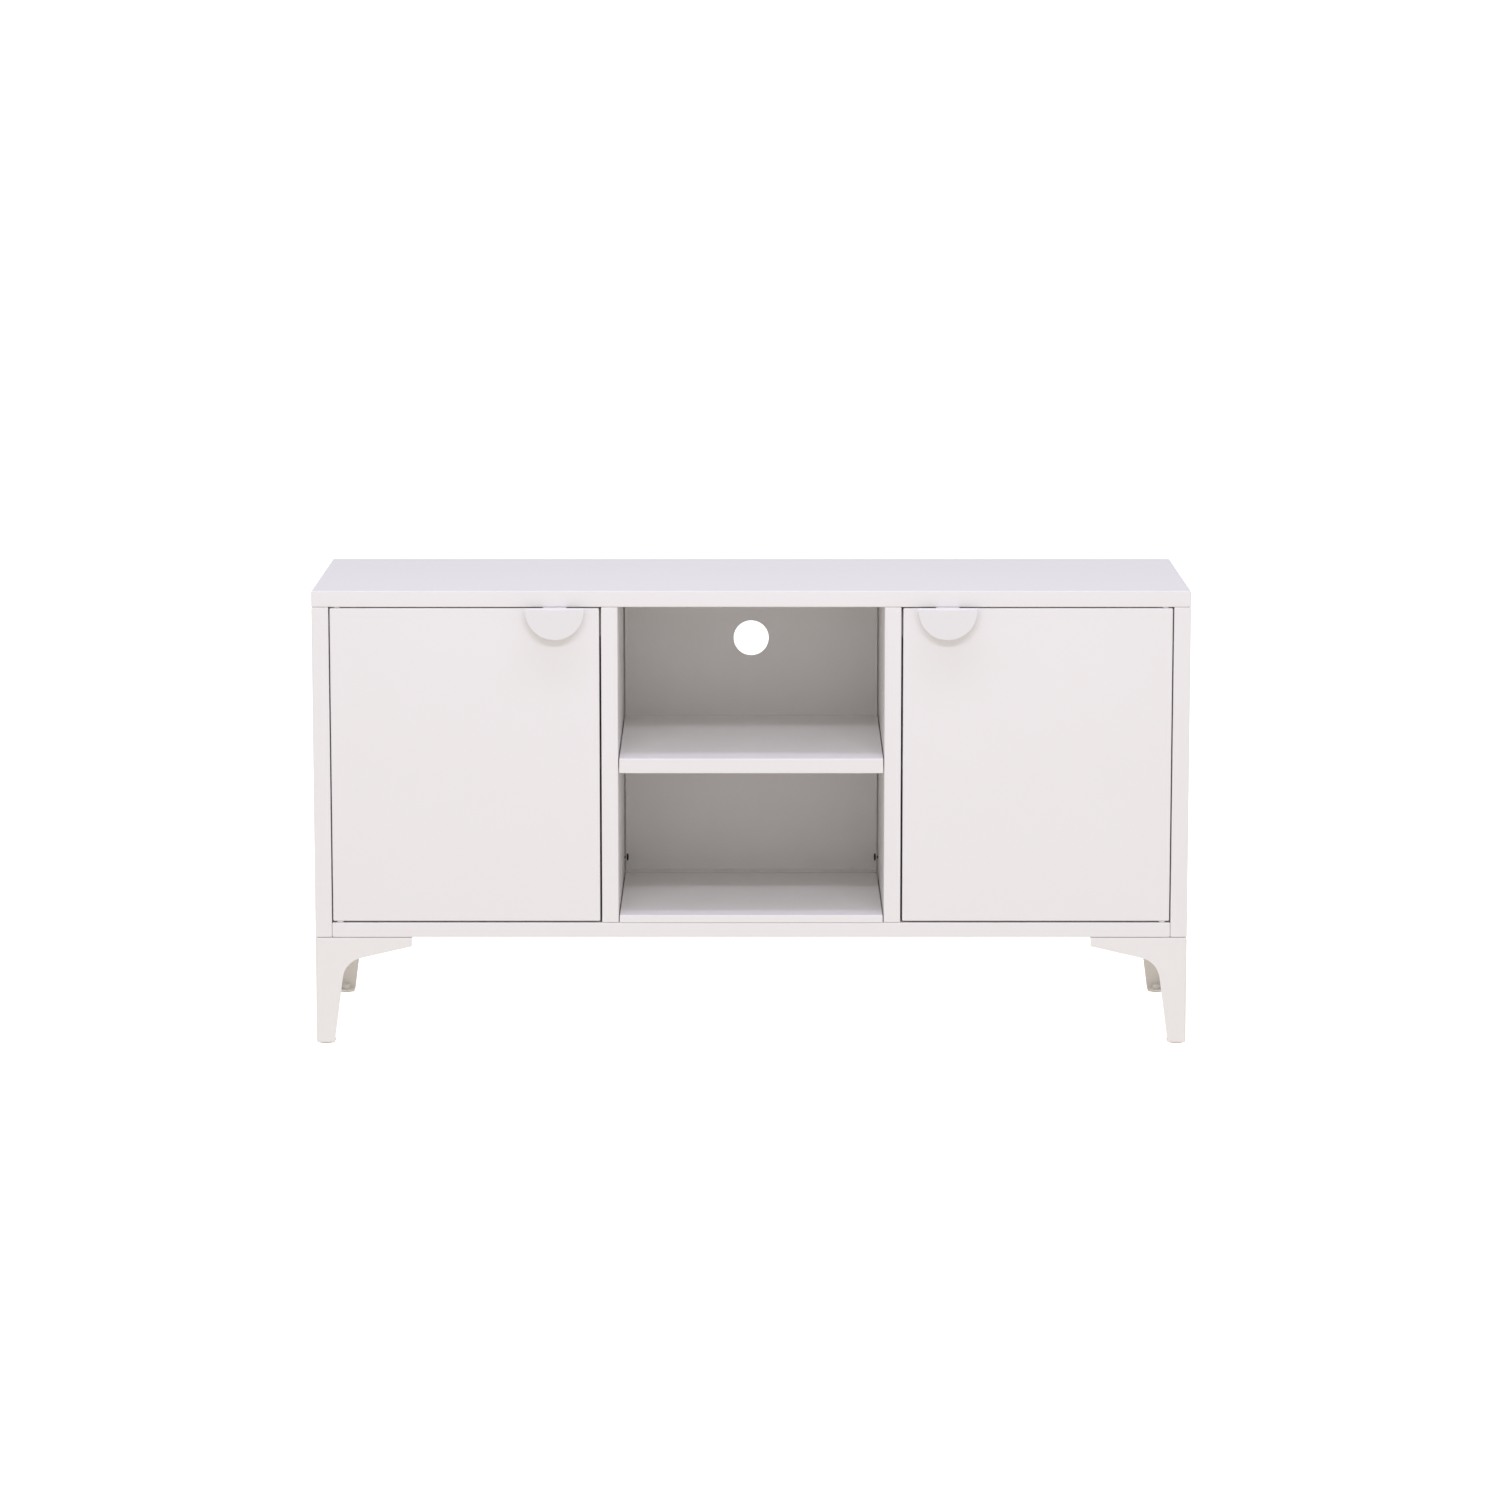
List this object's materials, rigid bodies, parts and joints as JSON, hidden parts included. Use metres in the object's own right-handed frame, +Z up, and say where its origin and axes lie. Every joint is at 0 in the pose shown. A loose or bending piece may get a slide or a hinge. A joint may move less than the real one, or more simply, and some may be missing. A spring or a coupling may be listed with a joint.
{
  "type": "tv stand with doors",
  "caption": "Low sheet-steel TV stand with an open middle bay, a hinged cupboard door each side, half-round handles and pressed corner legs.",
  "frame": {"origin": "on the floor, under the middle of the stand's bounding box (handles included)", "axes": "+X to the stand's right as seen from the front, +Y to the back, +Z up; the doors face -Y"},
  "size_m": [1.2, 0.3936, 0.63],
  "materials": {
    "powder_coat": "off-white satin powder coat with a faint fine texture",
    "zinc_steel": "bright zinc plate",
    "dark_steel": "dark oxide, satin",
    "nylon": "natural white nylon, matt"
  },
  "bodies": {
    "carcass": {"back_panel_centre": "powder_coat", "back_panel_left": "powder_coat", "back_panel_right": "powder_coat", "back_screw_left": "dark_steel", "back_screw_right": "dark_steel", "bottom_panel": "powder_coat", "centre_floor_tray": "powder_coat", "centre_shelf": "powder_coat", "centre_shelf_pin_front_left": "zinc_steel", "centre_shelf_pin_front_right": "zinc_steel", "centre_shelf_pin_rear_left": "zinc_steel", "centre_shelf_pin_rear_right": "zinc_steel", "cupboard_shelf_left": "powder_coat", "cupboard_shelf_pin_inner_front_left": "zinc_steel", "cupboard_shelf_pin_inner_front_right": "zinc_steel", "cupboard_shelf_pin_inner_rear_left": "zinc_steel", "cupboard_shelf_pin_inner_rear_right": "zinc_steel", "cupboard_shelf_pin_outer_front_left": "zinc_steel", "cupboard_shelf_pin_outer_front_right": "zinc_steel", "cupboard_shelf_pin_outer_rear_left": "zinc_steel", "cupboard_shelf_pin_outer_rear_right": "zinc_steel", "cupboard_shelf_right": "powder_coat", "divider_left": "powder_coat", "divider_right": "powder_coat", "foot_glide_front_left": "nylon", "foot_glide_front_right": "nylon", "foot_glide_rear_left": "nylon", "foot_glide_rear_right": "nylon", "hinge_pin_lower_left": "zinc_steel", "hinge_pin_lower_right": "zinc_steel", "hinge_pin_upper_left": "zinc_steel", "hinge_pin_upper_right": "zinc_steel", "leg_bolt_front_arm_left": "zinc_steel", "leg_bolt_front_arm_right": "zinc_steel", "leg_bolt_front_side_left": "zinc_steel", "leg_bolt_front_side_right": "zinc_steel", "leg_bolt_rear_arm_left": "zinc_steel", "leg_bolt_rear_arm_right": "zinc_steel", "leg_bolt_rear_side_left": "zinc_steel", "leg_bolt_rear_side_right": "zinc_steel", "leg_front_left": "powder_coat", "leg_front_right": "powder_coat", "leg_rear_left": "powder_coat", "leg_rear_right": "powder_coat", "magnetic_catch_left": "nylon", "magnetic_catch_right": "nylon", "pivot_washer_lower_left": "nylon", "pivot_washer_lower_right": "nylon", "pivot_washer_upper_left": "nylon", "pivot_washer_upper_right": "nylon", "side_panel_left": "powder_coat", "side_panel_right": "powder_coat", "top_panel": "powder_coat"},
    "door_left": {"door_left": "powder_coat", "door_liner_left": "powder_coat", "handle_left": "powder_coat"},
    "door_right": {"door_liner_right": "powder_coat", "door_right": "powder_coat", "handle_right": "powder_coat"}
  },
  "joints": [
    {"name": "door_left_hinge", "type": "hinge", "parent": "carcass", "child": "door_left", "pos_m": [-0.5655, -0.17745, 0.39], "axis": [0, 0, -1], "range_deg": [0, 110]},
    {"name": "door_right_hinge", "type": "hinge", "parent": "carcass", "child": "door_right", "pos_m": [0.5655, -0.17745, 0.39], "axis": [0, 0, 1], "range_deg": [0, 110]}
  ]
}
